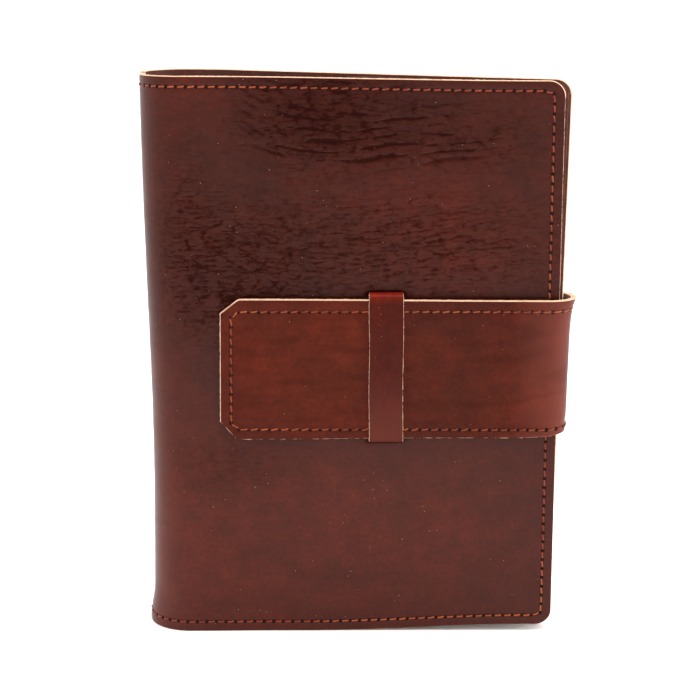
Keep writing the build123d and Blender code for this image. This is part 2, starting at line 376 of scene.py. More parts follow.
class Sheet:
    """A closed sheet that follows a route, between a low and a high edge, with rounded rims.

    near and far are how far its two faces stand out from the route. rim is how wide the raw
    edge is on the start, end, low and high sides. relief moves the near face in and out, and
    sway the whole sheet. lift moves it up, and lean along. place puts plan and height in space.
    masks are painted on the near face. coarse is how many cells of the far face make one.
    """

    def __init__(self, route, near, far, along, low, high, up_marks, rim):
        self.route, self.near, self.far = route, near, far
        self.along, self.low, self.high = along, low, high
        self.up_marks, self.rim = up_marks, rim
        self.relief = self.sway = self.lift = self.lean = lambda a, b: np.zeros(a.shape)
        self.place = lambda flat, up: np.stack([flat[..., 0], flat[..., 1], up], -1)
        self.masks = {}
        self.coarse = 1

    def stand(self, along, up, out):
        """Where a point of the sheet is, when it stands this far out of the route."""
        point, _, normal = self.route.at(along + self.lean(along, up))
        out = out + self.sway(along, up)
        return self.place(point + normal * out[..., None], up + self.lift(along, up))

    def grid(self):
        """Flat coordinates of the near face, inside the rim."""
        start, end, bottom, top = self.rim
        first, last = self.along[0], self.along[-1]
        along = first + start + (self.along - first) * (last - first - start - end) / (last - first)
        low = self.low(self.along) + bottom
        high = self.high(self.along) - top
        up = low[:, None] + (high - low)[:, None] * self.up_marks[None, :]
        return np.repeat(along[:, None], up.shape[1], 1), up

    def border(self, rows, columns):
        """Grid places round the edge, in order, and the rim's width at each."""
        start, end, bottom, top = self.rim
        places = [(i, 0, bottom) for i in range(rows - 1)]
        places += [(rows - 1, j, end) for j in range(columns - 1)]
        places += [(i, columns - 1, top) for i in range(rows - 1, 0, -1)]
        places += [(0, j, start) for j in range(columns - 1, 0, -1)]
        index = np.array([i * columns + j for i, j, _ in places])
        return index, np.array([width for _, _, width in places])

    def build(self, name, materials, seed=0.0, fuzz=0.16):
        """One closed mesh: near face, far face and a rounded, slightly furry rim between them."""
        along, up = self.grid()
        rows, columns = along.shape
        face = self.stand(along, up, self.near + self.relief(along, up))
        under = self.stand(along, up, np.full(along.shape, self.far))
        count = rows * columns
        points = [face.reshape(-1, 3), under.reshape(-1, 3)]
        flat = [np.stack([along, up], -1).reshape(-1, 2)] * 2
        cell = np.arange(count).reshape(rows, columns)
        quads = np.stack([cell[:-1, :-1], cell[1:, :-1], cell[1:, 1:], cell[:-1, 1:]], -1).reshape(-1, 4)
        middle = (rows // 2, columns // 2)
        edge_a = face[middle[0] + 1, middle[1]] - face[middle]
        edge_b = face[middle[0], middle[1] + 1] - face[middle]
        inside_out = float(np.cross(edge_a, edge_b) @ (face[middle] - under[middle])) < 0
        faces = quads.tolist()
        kinds = [0] * len(faces)
        far_faces = coarse_faces(cell + count, self.coarse)
        faces += far_faces
        kinds += [1] * len(far_faces)
        index, wide = self.border(rows, columns)
        edge = flat[0][index]
        ahead = np.roll(edge, -1, 0) - np.roll(edge, 1, 0)
        ahead /= np.linalg.norm(ahead, axis=1)[:, None]
        away = np.stack([ahead[:, 1], -ahead[:, 0]], -1)
        loops = [index]
        thick = self.near - self.far
        near_out = self.near + self.relief(edge[:, 0], edge[:, 1])
        for share, push in RIM_PROFILE:
            rough = soft_noise(edge[:, 0], edge[:, 1], FIBRE, FIBRE, seed + share * 9)
            move = wide * push + np.where(wide > 0, rough * fuzz * MM, 0)
            spot = edge + away * move[:, None]
            out = near_out - share * (near_out - self.far)
            points.append(self.stand(spot[:, 0], spot[:, 1], out))
            flat.append(spot + away * (share * thick))
            loops.append(np.arange(len(index)) + 2 * count + (len(loops) - 1) * len(index))
        loops.append(index + count)
        for outer, inner in zip(loops, loops[1:]):
            wall = np.stack([outer, inner, np.roll(inner, -1), np.roll(outer, -1)], -1)
            faces += wall.tolist()
            kinds += [2] * len(wall)
        if inside_out:
            faces = [one[::-1] for one in faces]
        points, faces, flat = drop_unused(np.concatenate(points), faces, np.concatenate(flat))
        mesh = new_mesh(name, points, faces, flat)
        mesh.polygons.foreach_set("material_index", kinds)
        for title, mask in self.masks.items():
            values = np.zeros(len(mesh.vertices), np.float32)
            values[:count] = mask(along, up).ravel()
            mesh.attributes.new(title, "FLOAT", "POINT").data.foreach_set("value", values)
        return new_object(name, mesh, materials)


def coarse_faces(cell, step):
    """Faces of a sheet's hidden side on a coarser grid, fanned out to the full border."""
    if step == 1:
        quads = np.stack([cell[:-1, :-1], cell[:-1, 1:], cell[1:, 1:], cell[1:, :-1]], -1)
        return quads.reshape(-1, 4).tolist()
    ticks = [list(range(step, count - 1, step)) for count in cell.shape]
    faces = coarse_faces(cell[np.ix_(*ticks)], 1)
    for _ in range(4):
        (first, *_), marks = ticks
        for here, there in zip(marks, marks[1:]):
            faces.append([*cell[0, here:there + 1], cell[first, there], cell[first, here]])
        faces.append([*cell[first:0:-1, 0], *cell[0, :marks[0] + 1], cell[first, marks[0]]])
        last_column = cell.shape[1] - 1
        cell, ticks = np.rot90(cell), [[last_column - mark for mark in reversed(marks)], ticks[0]]
    return [[int(v) for v in face] for face in faces]


def drop_unused(points, faces, flat):
    """Leave out points that no face uses. They all come after the near face's own points."""
    used = np.zeros(len(points), bool)
    used[[v for face in faces for v in face]] = True
    place = np.cumsum(used) - 1
    return points[used], [[int(place[v]) for v in face] for face in faces], flat[used]


def new_mesh(name, points, faces, flat=None):
    mesh = bpy.data.meshes.new(name)
    mesh.from_pydata(np.asarray(points).tolist(), [], faces)
    mesh.polygons.foreach_set("use_smooth", np.ones(len(mesh.polygons), bool))
    if flat is not None:
        corner = np.zeros(len(mesh.loops), np.int32)
        mesh.loops.foreach_get("vertex_index", corner)
        layer = mesh.uv_layers.new(name="flat")
        layer.data.foreach_set("uv", (np.asarray(flat)[corner] / (100 * MM)).astype(np.float32).ravel())
    mesh.update()
    return mesh


def new_object(name, mesh, materials):
    piece = bpy.data.objects.new(name, mesh)
    bpy.context.scene.collection.objects.link(piece)
    for material in materials:
        mesh.materials.append(material)
    return piece


# ------ seams


def cover_seam(length):
    """Needle holes round a cover: along the top, down the fore-edge, and along the bottom."""
    top, right, bottom = HEIGHT - SEAM_INSET, length - SEAM_INSET, SEAM_INSET
    corners = [(0, top), (right, top), (right, bottom), (0, bottom)]
    line = rounded_route(corners, [2.2 * MM, 2.2 * MM], 1)
    return line.at(np.linspace(0, line.length, round(line.length / STITCH) + 1))[0]


class Inside:
    """The other side of a sheet, for the thread that stands inwards."""

    def __init__(self, sheet):
        self.sheet = sheet

    def stand(self, along, up, out):
        return self.sheet.stand(along, up, -out)


def unit(vectors):
    return vectors / np.linalg.norm(vectors, axis=-1, keepdims=True)


# A stitch from hole to hole: share of the way, and height over the leather.
STITCH_SHARE = np.array([0.14, 0.19, 0.28, 0.43, 0.57, 0.72, 0.81, 0.86])
STITCH_RISE = np.array([-0.30, -0.02, 0.20, 0.27, 0.27, 0.20, -0.02, -0.30]) * MM
THREAD = 0.31


class Needlework:
    """Stitches and needle holes, gathered into one mesh of thread and one of holes."""

    def __init__(self, seed):
        self.chance = random.Random(seed)
        self.thread = ([], [])
        self.holes = ([], [])

    def row(self, sheet, spots, surface):
        """Stitches from hole to hole. surface gives how far out the leather is at a point."""
        for a, b in zip(spots, spots[1:]):
            self.stitch(sheet, a, b, surface, THREAD, 0.22)
        for spot in spots:
            self.hole(sheet, spot, surface)

    def stitch(self, sheet, a, b, surface, thick, lean, turns=8):
        """A short fat tube that comes up out of one hole and goes down into the next."""
        a, b = np.array(a), np.array(b)
        forward = unit(b - a)
        aside = np.array([-forward[1], forward[0]])
        lean = lean * self.chance.uniform(0.5, 1.4) * MM
        stout = thick * self.chance.uniform(0.92, 1.08) * MM
        share = STITCH_SHARE[:, None]
        flat = a + (b - a) * share + aside * lean * (share - 0.5) * 2
        out = surface(*flat.T) + STITCH_RISE * thick / THREAD
        heart = sheet.stand(*flat.T, out)
        lift = unit(sheet.stand(*flat.T, out + 0.1 * MM) - heart)[:, None]
        over = unit(sheet.stand(*(flat + aside * 0.1 * MM).T, out) - heart)[:, None]
        angle = np.linspace(0, 2 * math.pi, turns, endpoint=False)[:, None]
        tube = heart[:, None] + (over * np.cos(angle) + lift * np.sin(angle) * 0.85) * stout
        points, faces = self.thread
        first = len(points)
        points += tube.reshape(-1, 3).tolist()
        last = len(points) - turns
        for low in range(first, last, turns):
            faces += ring_faces(low, low + turns, turns)
        faces.append(tuple(range(first + turns - 1, first - 1, -1)))
        faces.append(tuple(range(last, last + turns)))

    def hole(self, sheet, spot, surface, turns=10):
        """A small dark dish round a needle hole, as painted shade for the hole."""
        size = self.chance.uniform(0.9, 1.1) * MM
        points, faces = self.holes
        first = len(points)
        angle = np.linspace(0, 2 * math.pi, turns, endpoint=False)
        circle = np.stack([np.cos(angle), np.sin(angle)], -1)
        for radius, rise in ((0.80, 0.02), (0.64, 0.07)):
            flat = np.array(spot) + circle * radius * size
            points += sheet.stand(*flat.T, surface(*flat.T) + rise * MM).tolist()
        middle = np.array([spot]).T
        points += sheet.stand(*middle, surface(*middle) + 0.09 * MM).tolist()
        faces += ring_faces(first, first + turns, turns)
        top = first + 2 * turns
        faces += [(top - turns + k, top - turns + (k + 1) % turns, top) for k in range(turns)]

    def build(self, name, thread, dark):
        """One object: thread and the dark needle holes under it, which are painted shade."""
        count = len(self.thread[0])
        faces = self.thread[1] + [tuple(v + count for v in face) for face in self.holes[1]]
        mesh = new_mesh(name, self.thread[0] + self.holes[0], faces)
        kinds = [0] * len(self.thread[1]) + [1] * len(self.holes[1])
        mesh.polygons.foreach_set("material_index", kinds)
        return new_object(name, mesh, [thread, dark])


def ring_faces(low, high, turns):
    """Faces between two rings of points."""
    steps = [(k, (k + 1) % turns) for k in range(turns)]
    return [(low + k, low + n, high + n, high + k) for k, n in steps]


# ------ shader groups


class Nodes:
    """Short calls for laying out a node tree."""

    def __init__(self, tree):
        self.tree = tree

    def add(self, kind, **settings):
        node = self.tree.nodes.new(kind)
        for key, value in settings.items():
            setattr(node, key, value)
        return node

    def link(self, source, target):
        self.tree.links.new(source, target)

    def feed(self, node, name, value):
        if isinstance(value, bpy.types.NodeSocket):
            self.link(value, node.inputs[name])
        else:
            node.inputs[name].default_value = value

    def settle(self, node, **values):
        """Feed a node's sockets by name. Underscores stand for the spaces in their names."""
        for name, value in values.items():
            self.feed(node, name.replace("_", " "), value)

    def math(self, operation, a, b, clamp=False):
        node = self.add("ShaderNodeMath", operation=operation, use_clamp=clamp)
        self.feed(node, 0, a)
        self.feed(node, 1, b)
        return node.outputs[0]

    def times(self, a, b, clamp=False):
        return self.math("MULTIPLY", a, b, clamp)

    def plus(self, a, b, clamp=False):
        return self.math("ADD", a, b, clamp)

    def mix(self, share, a, b, how="MIX"):
        node = self.add("ShaderNodeMix", data_type="RGBA", blend_type=how)
        self.feed(node, 0, share)
        self.feed(node, 6, a)
        self.feed(node, 7, b)
        return node.outputs[2]

    def range(self, value, low, high, to_low=0.0, to_high=1.0):
        node = self.add("ShaderNodeMapRange")
        for place, given in enumerate((value, low, high, to_low, to_high)):
            self.feed(node, place, given)
        return node.outputs[0]

    def stretch(self, vector, scale):
        node = self.add("ShaderNodeMapping")
        self.settle(node, Vector=vector, Scale=scale)
        return node.outputs[0]

    def noise(self, vector, scale, detail=3.0, rough=0.55, distort=0.0, output="Fac"):
        node = self.add("ShaderNodeTexNoise")
        self.settle(node, Vector=vector, Scale=scale, Detail=detail, Roughness=rough, Distortion=distort)
        return node.outputs[output]

    def cells(self, vector, scale, feature="F1"):
        node = self.add("ShaderNodeTexVoronoi", feature=feature)
        self.settle(node, Vector=vector, Scale=scale)
        return node.outputs["Distance"]

    def bump(self, shader, height, strength, deep):
        """Raise the surface by a height between 0 and 1, times a distance in millimetres."""
        node = self.add("ShaderNodeBump")
        self.settle(node, Height=height, Strength=strength, Distance=deep * MM)
        self.link(node.outputs[0], shader.inputs["Normal"])


def group(name, inputs, outputs, fill):
    """A shader node group with named inputs and outputs, filled by a function."""
    tree = bpy.data.node_groups.new(name, "ShaderNodeTree")
    for title, kind, value in inputs:
        made = tree.interface.new_socket(name=title, in_out="INPUT", socket_type=kind)
        if value is not None:
            made.default_value = value
    for title, kind in outputs:
        tree.interface.new_socket(name=title, in_out="OUTPUT", socket_type=kind)
    nodes = Nodes(tree)
    entry = nodes.add("NodeGroupInput")
    leave = nodes.add("NodeGroupOutput")
    for title, value in fill(nodes, entry.outputs).items():
        nodes.link(value, leave.inputs[title])
    return tree


FLOAT, VECTOR, COLOUR = "NodeSocketFloat", "NodeSocketVector", "NodeSocketColor"


def leather_grain(nodes, given):
    """Fine pebbles, pores and short stretched creases."""
    flat = given["Flat"]
    warp = nodes.noise(flat, 14.0, 2.0, output="Color")
    bent = nodes.mix(0.018, flat, warp, "ADD")
    pebble = nodes.cells(nodes.stretch(bent, (1.0, 1.3, 1.0)), 105.0, "SMOOTH_F1")
    pores = nodes.noise(nodes.stretch(flat, (1.0, 1.2, 1.0)), 260.0, 2.0, 0.6)
    cracks = nodes.cells(nodes.stretch(bent, (11.0, 38.0, 1.0)), 1.0, "DISTANCE_TO_EDGE")
    crack = nodes.range(cracks, 0.0, 0.14, 1.0, 0.0)
    fine = nodes.cells(nodes.stretch(bent, (26.0, 70.0, 1.0)), 1.0, "DISTANCE_TO_EDGE")
    fine_crack = nodes.range(fine, 0.0, 0.18, 1.0, 0.0)
    broken = nodes.range(nodes.noise(flat, 34.0, 3.0), 0.42, 0.62)
    crack = nodes.times(crack, broken)
    fine_crack = nodes.times(fine_crack, nodes.range(nodes.noise(flat, 21.0, 2.0), 0.4, 0.65))
    wrinkle = nodes.times(nodes.plus(crack, nodes.times(fine_crack, 0.55)), given["Wrinkle"])
    height = nodes.times(pebble, given["Pebble"])
    height = nodes.plus(height, nodes.times(pores, 0.16))
    height = nodes.math("SUBTRACT", height, wrinkle)
    return {"Height": height, "Crease": wrinkle}


def tone_light_and_shade(nodes, given):
    """Dye that took unevenly: dark and red clouds, faint streaks, and a few pale specks. Painted light is
    mixed in towards Pale, and painted shade towards Deep.
    """
    flat = given["Flat"]
    clouds = nodes.range(nodes.noise(flat, 2.6, 4.0, 0.6, 0.4), 0.32, 0.70)
    clouds = nodes.plus(nodes.times(clouds, 0.55), given["Redness"], clamp=True)
    streak = nodes.range(nodes.noise(nodes.stretch(flat, (1.6, 15.0, 1.0)), 3.0, 3.0), 0.35, 0.70)
    smoke = nodes.range(nodes.noise(nodes.stretch(flat, (5.0, 3.0, 1.0)), 2.2, 3.0, 0.6), 0.42, 0.70)
    tone = nodes.mix(clouds, given["Dark"], given["Red"])
    tone = nodes.mix(nodes.times(streak, given["Streaks"]), tone, given["Dark"])
    tone = nodes.mix(nodes.times(smoke, given["Streaks"]), tone, given["Dark"])
    mottle = nodes.range(nodes.noise(flat, 55.0, 4.0, 0.7), 0.3, 0.75, 0.80, 1.22)
    tone = nodes.mix(1.0, tone, mottle, "MULTIPLY")
    patches = nodes.range(nodes.noise(flat, 11.0, 3.0, 0.6), 0.35, 0.68, 0.88, 1.14)
    tone = nodes.mix(1.0, tone, patches, "MULTIPLY")
    # Painted light: paler towards Pale wherever the painted-light mask lies.
    tone = nodes.mix(given["Worn"], tone, given["Pale"])
    # Painted shade: darker towards Deep in the creases and wherever the shade mask lies.
    tone = nodes.mix(nodes.times(given["Crease"], 0.8, clamp=True), tone, given["Deep"])
    dots = nodes.range(nodes.cells(flat, 30.0), 0.035, 0.060, 1.0, 0.0)
    few = nodes.range(nodes.noise(flat, 9.0, 1.0), 0.48, 0.54)
    speck = nodes.times(dots, few)
    return {"Colour": nodes.mix(nodes.times(speck, 0.6), tone, given["Speck"])}


GRAIN = group(
    "leather grain",
    (("Flat", VECTOR, None), ("Wrinkle", FLOAT, 0.0), ("Pebble", FLOAT, 0.4)),
    (("Height", FLOAT), ("Crease", FLOAT)),
    leather_grain,
)
TONE_LIGHT_AND_SHADE = group(
    "tone, light and shade",
    (("Flat", VECTOR, None),
     *((colour, COLOUR, None) for colour in ("Dark", "Red", "Deep", "Speck", "Pale")),
     *((share, FLOAT, 0.0) for share in ("Redness", "Streaks", "Crease", "Worn"))),
    (("Colour", COLOUR),),
    tone_light_and_shade,
)

# ------ materials


def new_material(name):
    material = bpy.data.materials.new(name)
    material.use_nodes = True
    material.node_tree.nodes.clear()
    nodes = Nodes(material.node_tree)
    leave = nodes.add("ShaderNodeOutputMaterial")
    shader = nodes.add("ShaderNodeBsdfPrincipled")
    nodes.link(shader.outputs[0], leave.inputs[0])
    return material, nodes, shader


def flat_place(nodes):
    """Where a point lies on its sheet before folding, in decimetres."""
    return nodes.add("ShaderNodeUVMap", uv_map="flat").outputs[0]


def mask(nodes, name):
    return nodes.add("ShaderNodeAttribute", attribute_name=name).outputs["Fac"]


def use_group(nodes, tree, **values):
    node = nodes.add("ShaderNodeGroup", node_tree=tree)
    nodes.settle(node, **values)
    return node.outputs


def dyed_leather(name, dark, red, deep, finish, painted=False, redness=0.0, streaks=0.2, pebble=0.4):
    """Dyed leather. finish is (roughness, coat, coat roughness, specular level, bump).

    A painted piece carries its own masks: wrinkle, painted shade (with dark streaks of dye on the strap),
    redness (partly painted light) and painted light.
    """
    rough, coat, coat_rough, specular, bump = finish
    material, nodes, shader = new_material(name)
    flat = flat_place(nodes)
    wrinkle = mask(nodes, "wrinkle") if painted else 0.05
    # Painted shade: the piece's shade mask, with dark streaks of dye on the strap.
    shade_and_tone = mask(nodes, "crease") if painted else 0.0
    grain = use_group(nodes, GRAIN, Flat=flat, Wrinkle=wrinkle, Pebble=pebble)
    warm = mask(nodes, "redness") if painted else redness
    # Painted light: this mask draws parts of a painted piece paler.
    light_and_tone = mask(nodes, "light_and_tone") if painted else 0.0
    # Painted shade: the wrinkled zones drawn darker, towards deep.
    if painted:
        soak_and_shade = nodes.times(wrinkle, 0.25)
        dark, red = nodes.mix(soak_and_shade, dark, deep), nodes.mix(soak_and_shade, red, deep)
    # The pale colour given below is painted light, and deep is the colour of painted shade.
    dye = use_group(nodes, TONE_LIGHT_AND_SHADE, Flat=flat, Dark=dark, Red=red, Deep=deep, Speck=(0.42, 0.27, 0.19, 1),
                    Redness=warm, Streaks=streaks, Crease=nodes.plus(grain["Crease"], shade_and_tone, True),
                    Worn=light_and_tone, Pale=(0.170, 0.043, 0.029, 1))
    dull = nodes.plus(nodes.plus(grain["Crease"], shade_and_tone), nodes.times(wrinkle, 0.28))
    shine = nodes.math("SUBTRACT", 1.0, dull, True)
    handled = nodes.range(nodes.noise(flat, 7.0, 3.0), 0.3, 0.7, rough - 0.06, rough + 0.08)
    nodes.settle(shader, Base_Color=dye["Colour"], Roughness=handled, Specular_IOR_Level=specular)
    nodes.settle(shader, Coat_Weight=nodes.times(shine, coat), Coat_Roughness=coat_rough)
    nodes.settle(shader, Sheen_Weight=0.02, Sheen_Roughness=0.22, Sheen_Tint=(1.0, 0.78, 0.70, 1))
    nodes.bump(shader, grain["Height"], bump, 0.16)
    return material


def raw_edge():
    """The cut edge: pale undyed fibres, with a little dye soaked in."""
    material, nodes, shader = new_material("raw_cut_edge")
    flat = flat_place(nodes)
    fibre = nodes.noise(flat, 95.0, 4.0, 0.7)
    soak = nodes.range(nodes.noise(flat, 16.0, 3.0), 0.45, 0.75)
    pale = nodes.mix(fibre, (0.50, 0.26, 0.15, 1), (0.86, 0.62, 0.44, 1))
    soak_and_shade = nodes.mix(nodes.times(soak, 0.4), pale, (0.42, 0.17, 0.09, 1))
    nodes.settle(shader, Base_Color=soak_and_shade, Roughness=0.9, Specular_IOR_Level=0.2)
    nodes.bump(shader, fibre, 0.8, 0.2)
    return material


def sewing_thread(name, dark, light):
    """Waxed orange-brown thread with the twist of its strands."""
    material, nodes, shader = new_material(name)
    place = nodes.add("ShaderNodeTexCoord").outputs["Object"]
    twist = nodes.add("ShaderNodeTexWave", wave_type="BANDS", bands_direction="DIAGONAL")
    nodes.settle(twist, Vector=place, Scale=620.0, Distortion=1.2, Detail=1.0)
    uneven = nodes.range(nodes.noise(place, 240.0, 3.0), 0.3, 0.7)
    tone = nodes.mix(uneven, dark, light)
    light_and_tone = nodes.range(nodes.noise(place, 20.0, 2.0), 0.46, 0.64)
    tone = nodes.mix(nodes.times(light_and_tone, 0.6), tone, (0.46, 0.115, 0.026, 1))
    tone = nodes.mix(nodes.times(twist.outputs["Fac"], 0.35), tone, (0.10, 0.016, 0.007, 1))
    nodes.settle(shader, Base_Color=tone, Roughness=0.65, Specular_IOR_Level=0.2, Sheen_Weight=0.05)
    nodes.bump(shader, twist.outputs["Fac"], 0.6, 0.1)
    return material


def needle_hole():
    """Painted shade: the dark of a punched hole."""
    material, nodes, shader = new_material("needle_hole")
    place = nodes.add("ShaderNodeTexCoord").outputs["Object"]
    uneven = nodes.noise(place, 500.0, 2.0)
    tone = nodes.mix(uneven, (0.010, 0.003, 0.002, 1), (0.030, 0.009, 0.006, 1))
    nodes.settle(shader, Base_Color=tone, Roughness=0.9, Specular_IOR_Level=0.05)
    return material


def make_materials():
    # deep is the colour of painted shade: creases, wrinkled zones, and beside the strap and the keeper.
    dark, red, deep = (0.039, 0.0060, 0.0024, 1), (0.078, 0.0090, 0.0030, 1), (0.012, 0.0010, 0.0006, 1)
    strap_dark, strap_red = (0.054, 0.0085, 0.0036, 1), (0.098, 0.0112, 0.0036, 1)
    # The keeper's red shows most at its top bend, where its masks paint the light.
    keeper_dark, keeper_red = (0.057, 0.0070, 0.0034, 1), (0.205, 0.0135, 0.0042, 1)
    lining_dark, lining_red = (0.080, 0.024, 0.018, 1), (0.130, 0.042, 0.032, 1)
    return {
        "hide": dyed_leather("glossy_hide", dark, red, deep, (0.42, 0.28, 0.16, 0.04, 0.60), True,
                             pebble=0.35),
        "strap": dyed_leather("strap_leather", strap_dark, strap_red, deep, (0.40, 0.10, 0.20, 0.03, 0.22),
                              True, streaks=0.45, pebble=0.18),
        "keeper": dyed_leather("keeper_leather", keeper_dark, keeper_red, deep,
                               (0.38, 0.09, 0.18, 0.03, 0.22), True, streaks=0.2, pebble=0.18),
        "lining": dyed_leather("lining_leather", lining_dark, lining_red, deep,
                               (0.50, 0.10, 0.3, 0.10, 0.45), redness=0.3, pebble=0.5),
        "sleeve": dyed_leather("sleeve_leather", lining_dark, lining_red, deep,
                               (0.46, 0.16, 0.25, 0.12, 0.45), redness=0.2, pebble=0.5),
        "edge": raw_edge(),
        "thread": sewing_thread("orange_thread", (0.14, 0.019, 0.008, 1), (0.34, 0.050, 0.018, 1)),
        "strap thread": sewing_thread("brown_thread", (0.11, 0.017, 0.006, 1), (0.27, 0.048, 0.014, 1)),
        "hole": needle_hole(),
    }


# ------ covers


def cover_outline(length, corner, inset):
    """Low and high edges of a cover, with the fore-edge corners rounded."""
    def reach(along):
        past = np.clip(along - (length - corner), 0, corner - inset)
        return corner - np.sqrt(np.maximum((corner - inset) ** 2 - past**2, 0))

    def low(along):
        return np.where(along > length - corner, reach(along), inset)

    def high(along):
        return HEIGHT - low(along)

    return low, high


def toward_corner(start, length, corner, step, tight_start=True):
    """Places along a cover, drawn closer together round its corner."""
    straight = spaced(start, length - corner, step, tight_start, False)
    turn = np.linspace(0, math.pi / 2, 9)[1:]
    round_part = length - corner + corner * np.sin(turn)
    return np.concatenate([straight, round_part])


def up_marks(step, long):
    """Where a sheet's points lie, from 0 at its low edge to 1 at its high edge."""
    return spaced(0, long, step) / long


def cover_sheet(route, depth, thick, start, inset, steps, rim, sign, relief=False):
    """One layer of a cover, from its start to the fore-edge, at a depth under the hide's face."""
    length = route.length - inset
    low, high = cover_outline(length, CORNER - inset, inset)
    along = toward_corner(start, length, CORNER - inset, steps[0])
    sheet = Sheet(route, -depth, -depth - thick, along, low, high, up_marks(steps[1], HEIGHT), rim)
    sheet.sway = lambda a, b: sway(a * sign, b)
    sheet.lift = drawn if sign > 0 else risen
    if sign < 0:
        sheet.lean = lambda a, b: fore_edge_lean(a, b, route.length)
    if relief:
        sheet.relief = lambda a, b: hide_relief(a, b, route.length, sign)
    return sheet


def fore_edge_lean(along, up, length):
    """The back cover's fore-edge leans out at its top and in at its foot."""
    return 3.4 * MM * (up / HEIGHT - 0.36) * smooth(0.35, 1.0, along / length)


def redness(along, up):
    """Red clouds in the dye down the spine, over the middle, and beside the fore-edge. The three low ones
    along the foot are painted light.
    """
    return patches(
        along, up,
        (0.30, (24, 175), (9, 70)),
        (0.50, (124, 160), (38, 36)),
        # Painted light: these three low clouds draw the foot of the cover lighter.
        (0.75, (20, 40), (32, 62)),
        (0.38, (70, 40), (45, 50)),
        (0.45, (120, 45), (50, 40)),
        (0.25, (35, 215), (30, 10)),
        (0.50, (-90, 110), (60, 60)),
    )


def painted_spine_light(along, up):
    """Painted light: the round of the spine drawn paler, most of all near its foot."""
    foot = bell(along - 9 * MM, 13) * (1 - ramp(20, 150, up))
    ridge = bell(along - 7 * MM, 8) * ramp(30, 130, up)
    return 0.38 * foot + 0.24 * ridge


def crease_shade(along, up):
    """Painted shade: darker in the creases and over the wrinkled zones, in bands along the strap, and at
    the keeper's ends.
    """
    large, small = creases(along, up)
    deep, _ = crease_zones(along, up)
    return np.clip(large + 0.6 * small + 0.24 * deep + painted_strap_shade(along, up), 0, 1)


def painted_strap_shade(along, up):
    """Painted shade: dark soft bands just above and below the strap, stronger beside the keeper, at its two
    ends.
    """
    across = along - ARC_LENGTH + ARC_CENTRE.x
    over_strap = smooth(STRAP_LO.x - 2 * MM, STRAP_LO.x + 3 * MM, across) * (along > 0)
    above = np.exp(-np.abs(up - STRAP_HI.z) / (2.2 * MM))
    below = 0.3 * np.exp(-np.abs(up - STRAP_LO.z) / (1.5 * MM))
    middle = (KEEPER_LO.x + KEEPER_HI.x) / 2
    beside = np.exp(-(((across - middle) / (9 * MM)) ** 4)) * (along > 0)
    low, high = keeper_edges()
    ends = bell(up - high, 2.0) + 0.6 * bell(up - low, 1.5)
    return np.clip(0.55 * over_strap * (above + below) + 0.7 * beside * ends, 0, 0.85)


def make_cover(side, route, sign, paint):
    """The hide, lining and sleeve of one cover with its half of the spine, and its seam."""
    body = f"{side}_cover"
    cut = (0.0, 0.10 * MM, 0.12 * MM, 0.29 * MM if sign > 0 else 0.22 * MM)
    thin = (0.0, 0.12 * MM, 0.08 * MM, 0.10 * MM)
    hide = cover_sheet(route, 0, HIDE, 0, 0, (0.98 * MM, 0.475 * MM), cut, sign, True)
    hide.coarse = 5
    # The hide's masks: the wrinkle amount, painted shade in its creases and by the strap, red clouds whose
    # low ones are painted light, and painted light down the spine.
    hide.masks = {
        "wrinkle": lambda a, b: np.maximum(*crease_zones(a * sign, b)),
        "crease": lambda a, b: crease_shade(a * sign, b),
        "redness": lambda a, b: redness(a * sign, b),
        "light_and_tone": lambda a, b: painted_spine_light(a * sign, b),
    }
    whole = hide.build(f"hide_{side}_half", [paint["hide"], paint["edge"], paint["edge"]], sign)
    lining = cover_sheet(route, HIDE, LINING, 0, 0.15 * MM, (2.4 * MM, 2.4 * MM), thin, sign)
    lining_piece = lining.build(f"lining_{side}_half", [paint["edge"], paint["lining"], paint["edge"]], 3.0)
    fold = fold_zone(0.0 if sign > 0 else SLANT)
    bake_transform(whole)
    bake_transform(lining_piece)
    start = route.length - POCKET
    sleeve = cover_sheet(route, HIDE + LINING, SLEEVE, start, 1.2 * MM, (2.4 * MM, 2.4 * MM),
                         (0.15 * MM, *thin[1:]), sign)
    sleeve_piece = sleeve.build(f"sleeve_{side}_pocket", [paint["sleeve"]] * 3, 5.0)
    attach(sleeve_piece, body)
    spots = cover_seam(route.length)
    work = Needlework(11 if sign > 0 else 12)
    work.row(hide, spots, lambda a, b: hide_relief(a, b, route.length, sign))
    seam_piece = work.build(f"seam_{side}_outside", paint["thread"], paint["hole"])
    depth = HIDE + LINING + 0.02 * MM
    inner = Needlework(21 if sign > 0 else 22)
    inner.row(Inside(hide), spots, lambda a, b: depth + np.where(a > start, SLEEVE, 0))
    inner_piece = inner.build(f"seam_{side}_inside", paint["thread"], paint["hole"])
    for piece in (seam_piece, inner_piece):
        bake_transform(piece)
    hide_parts(f"hide_{side}", "hide_spine")
    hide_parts(f"lining_{side}", "lining_spine")
    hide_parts(f"sleeve_{side}")
    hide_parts(f"seam_thread_{side}", "seam_thread_spine")


def fold_zone(slant):
    """Where the leather bends as a cover opens: its side of the spine, and a little of the cover."""
    ahead = Vector((math.cos(slant), -math.sin(slant)))
    ends = (ARC_CENTRE - ahead * 0.97 * RADIUS, ARC_CENTRE + ahead * 0.75 * RADIUS)
    return {"start": (*ends[0], 0), "end": (*ends[1], 0)}


# ------ strap


def strap_edges():
    """Low and high edges of the strap, with the corners of its tip clipped."""
    bottom, top = STRAP_LO.z, STRAP_HI.z
    wide = 0.5 * MM

    def flare(along):
        return wide * (1 - ramp(0, 120, along))

    def low(along):
        rise = (0.8 + 0.2 * ramp(30, 60, along) + 0.9 * ramp(112, 140, along)) * MM
        return bottom + rise - flare(along) + np.clip(7.0 * MM - along * 1.1, 0, None)

    def high(along):
        return top + flare(along) - np.clip(5.4 * MM - along * 0.8, 0, None)

    return low, high


